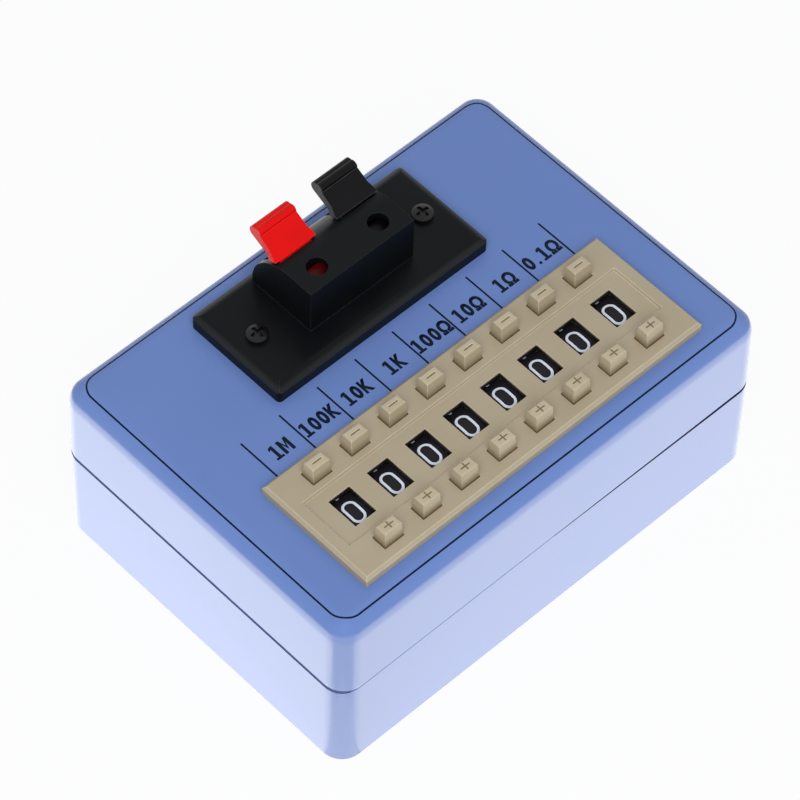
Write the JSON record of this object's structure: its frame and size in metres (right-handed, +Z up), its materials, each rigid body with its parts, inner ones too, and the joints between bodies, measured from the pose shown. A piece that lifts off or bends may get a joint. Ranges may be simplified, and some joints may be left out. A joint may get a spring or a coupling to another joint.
{
  "type": "dial resistance box",
  "caption": "Bench decade resistance box: blue two-part case with a beige bank of push-wheel decade switches and a sprung-lever wire terminal on its lid.",
  "frame": {"origin": "centre of the case's underside", "axes": "+X to the user's right along the switch bank, -Y towards the user, +Z up out of the lid"},
  "size_m": [0.0908, 0.0652, 0.0514],
  "materials": {
    "case_blue": "satin moulded plastic",
    "steel": "plain steel",
    "panel_beige": "satin moulded plastic",
    "button_beige": "satin moulded plastic",
    "board_green": "coated circuit board",
    "bronze": "bright spring bronze",
    "drum_black": "matt moulded plastic",
    "terminal_black": "satin moulded plastic",
    "screw_black": "blackened steel",
    "lever_red": "glossy moulded plastic",
    "lever_black": "glossy moulded plastic",
    "lead_red": "insulated lead",
    "lead_black": "insulated lead",
    "chip_black": "chip resistors"
  },
  "bodies": {
    "case": {"base": "case_blue", "lid": "case_blue", "base_screws": "steel", "wheel_axle": "steel", "tie_rods": "steel", "tie_nuts": "steel", "terminal_nuts": "steel", "red_lever_spring": "steel", "black_lever_spring": "steel", "switch_bezel": "panel_beige", "left_end_plate": "panel_beige", "right_end_plate": "panel_beige", "divider_plates": "panel_beige", "code_boards": "board_green", "resistor_board": "board_green", "detent_springs": "bronze", "red_contact": "bronze", "black_contact": "bronze", "terminal_body": "terminal_black", "terminal_screws": "screw_black", "red_wire": "lead_red", "black_wire": "lead_black", "resistors": "chip_black"},
    "wheel_1": {"digit_wheel_1": "drum_black", "contact_brush_1": "bronze"},
    "wheel_2": {"digit_wheel_2": "drum_black", "contact_brush_2": "bronze"},
    "wheel_3": {"digit_wheel_3": "drum_black", "contact_brush_3": "bronze"},
    "wheel_4": {"digit_wheel_4": "drum_black", "contact_brush_4": "bronze"},
    "wheel_5": {"digit_wheel_5": "drum_black", "contact_brush_5": "bronze"},
    "wheel_6": {"digit_wheel_6": "drum_black", "contact_brush_6": "bronze"},
    "wheel_7": {"digit_wheel_7": "drum_black", "contact_brush_7": "bronze"},
    "wheel_8": {"digit_wheel_8": "drum_black", "contact_brush_8": "bronze"},
    "minus_key_1": {"minus_button_1": "button_beige"},
    "minus_key_2": {"minus_button_2": "button_beige"},
    "minus_key_3": {"minus_button_3": "button_beige"},
    "minus_key_4": {"minus_button_4": "button_beige"},
    "minus_key_5": {"minus_button_5": "button_beige"},
    "minus_key_6": {"minus_button_6": "button_beige"},
    "minus_key_7": {"minus_button_7": "button_beige"},
    "minus_key_8": {"minus_button_8": "button_beige"},
    "plus_key_1": {"plus_button_1": "button_beige"},
    "plus_key_2": {"plus_button_2": "button_beige"},
    "plus_key_3": {"plus_button_3": "button_beige"},
    "plus_key_4": {"plus_button_4": "button_beige"},
    "plus_key_5": {"plus_button_5": "button_beige"},
    "plus_key_6": {"plus_button_6": "button_beige"},
    "plus_key_7": {"plus_button_7": "button_beige"},
    "plus_key_8": {"plus_button_8": "button_beige"},
    "red_lever_arm": {"red_lever": "lever_red"},
    "black_lever_arm": {"black_lever": "lever_black"}
  },
  "joints": [
    {"name": "wheel_1_turn", "type": "hinge", "parent": "case", "child": "wheel_1", "pos_m": [-0.028, -0.016, 0.0274], "axis": [1, 0, 0], "continuous": true},
    {"name": "wheel_2_turn", "type": "hinge", "parent": "case", "child": "wheel_2", "pos_m": [-0.02, -0.016, 0.0274], "axis": [1, 0, 0], "continuous": true},
    {"name": "wheel_3_turn", "type": "hinge", "parent": "case", "child": "wheel_3", "pos_m": [-0.012, -0.016, 0.0274], "axis": [1, 0, 0], "continuous": true},
    {"name": "wheel_4_turn", "type": "hinge", "parent": "case", "child": "wheel_4", "pos_m": [-0.004, -0.016, 0.0274], "axis": [1, 0, 0], "continuous": true},
    {"name": "wheel_5_turn", "type": "hinge", "parent": "case", "child": "wheel_5", "pos_m": [0.004, -0.016, 0.0274], "axis": [1, 0, 0], "continuous": true},
    {"name": "wheel_6_turn", "type": "hinge", "parent": "case", "child": "wheel_6", "pos_m": [0.012, -0.016, 0.0274], "axis": [1, 0, 0], "continuous": true},
    {"name": "wheel_7_turn", "type": "hinge", "parent": "case", "child": "wheel_7", "pos_m": [0.02, -0.016, 0.0274], "axis": [1, 0, 0], "continuous": true},
    {"name": "wheel_8_turn", "type": "hinge", "parent": "case", "child": "wheel_8", "pos_m": [0.028, -0.016, 0.0274], "axis": [1, 0, 0], "continuous": true},
    {"name": "minus_1_press", "type": "slide", "parent": "case", "child": "minus_key_1", "axis": [0, 0, -1], "range_m": [0, 0.0022], "stiffness_N_per_m": 500, "springref_m": -0.0012},
    {"name": "minus_2_press", "type": "slide", "parent": "case", "child": "minus_key_2", "axis": [0, 0, -1], "range_m": [0, 0.0022], "stiffness_N_per_m": 500, "springref_m": -0.0012},
    {"name": "minus_3_press", "type": "slide", "parent": "case", "child": "minus_key_3", "axis": [0, 0, -1], "range_m": [0, 0.0022], "stiffness_N_per_m": 500, "springref_m": -0.0012},
    {"name": "minus_4_press", "type": "slide", "parent": "case", "child": "minus_key_4", "axis": [0, 0, -1], "range_m": [0, 0.0022], "stiffness_N_per_m": 500, "springref_m": -0.0012},
    {"name": "minus_5_press", "type": "slide", "parent": "case", "child": "minus_key_5", "axis": [0, 0, -1], "range_m": [0, 0.0022], "stiffness_N_per_m": 500, "springref_m": -0.0012},
    {"name": "minus_6_press", "type": "slide", "parent": "case", "child": "minus_key_6", "axis": [0, 0, -1], "range_m": [0, 0.0022], "stiffness_N_per_m": 500, "springref_m": -0.0012},
    {"name": "minus_7_press", "type": "slide", "parent": "case", "child": "minus_key_7", "axis": [0, 0, -1], "range_m": [0, 0.0022], "stiffness_N_per_m": 500, "springref_m": -0.0012},
    {"name": "minus_8_press", "type": "slide", "parent": "case", "child": "minus_key_8", "axis": [0, 0, -1], "range_m": [0, 0.0022], "stiffness_N_per_m": 500, "springref_m": -0.0012},
    {"name": "plus_1_press", "type": "slide", "parent": "case", "child": "plus_key_1", "axis": [0, 0, -1], "range_m": [0, 0.0022], "stiffness_N_per_m": 500, "springref_m": -0.0012},
    {"name": "plus_2_press", "type": "slide", "parent": "case", "child": "plus_key_2", "axis": [0, 0, -1], "range_m": [0, 0.0022], "stiffness_N_per_m": 500, "springref_m": -0.0012},
    {"name": "plus_3_press", "type": "slide", "parent": "case", "child": "plus_key_3", "axis": [0, 0, -1], "range_m": [0, 0.0022], "stiffness_N_per_m": 500, "springref_m": -0.0012},
    {"name": "plus_4_press", "type": "slide", "parent": "case", "child": "plus_key_4", "axis": [0, 0, -1], "range_m": [0, 0.0022], "stiffness_N_per_m": 500, "springref_m": -0.0012},
    {"name": "plus_5_press", "type": "slide", "parent": "case", "child": "plus_key_5", "axis": [0, 0, -1], "range_m": [0, 0.0022], "stiffness_N_per_m": 500, "springref_m": -0.0012},
    {"name": "plus_6_press", "type": "slide", "parent": "case", "child": "plus_key_6", "axis": [0, 0, -1], "range_m": [0, 0.0022], "stiffness_N_per_m": 500, "springref_m": -0.0012},
    {"name": "plus_7_press", "type": "slide", "parent": "case", "child": "plus_key_7", "axis": [0, 0, -1], "range_m": [0, 0.0022], "stiffness_N_per_m": 500, "springref_m": -0.0012},
    {"name": "plus_8_press", "type": "slide", "parent": "case", "child": "plus_key_8", "axis": [0, 0, -1], "range_m": [0, 0.0022], "stiffness_N_per_m": 500, "springref_m": -0.0012},
    {"name": "red_lever_press", "type": "hinge", "parent": "case", "child": "red_lever_arm", "pos_m": [-0.0065, 0.0171, 0.0399], "axis": [-1, 0, 0], "range_deg": [0, 24], "stiffness_Nm_per_rad": 0.15, "springref_deg": -6.88, "deforming": ["red_lever_spring"]},
    {"name": "black_lever_press", "type": "hinge", "parent": "case", "child": "black_lever_arm", "pos_m": [0.0065, 0.0171, 0.0399], "axis": [-1, 0, 0], "range_deg": [0, 24], "stiffness_Nm_per_rad": 0.15, "springref_deg": -6.88, "deforming": ["black_lever_spring"]}
  ]
}
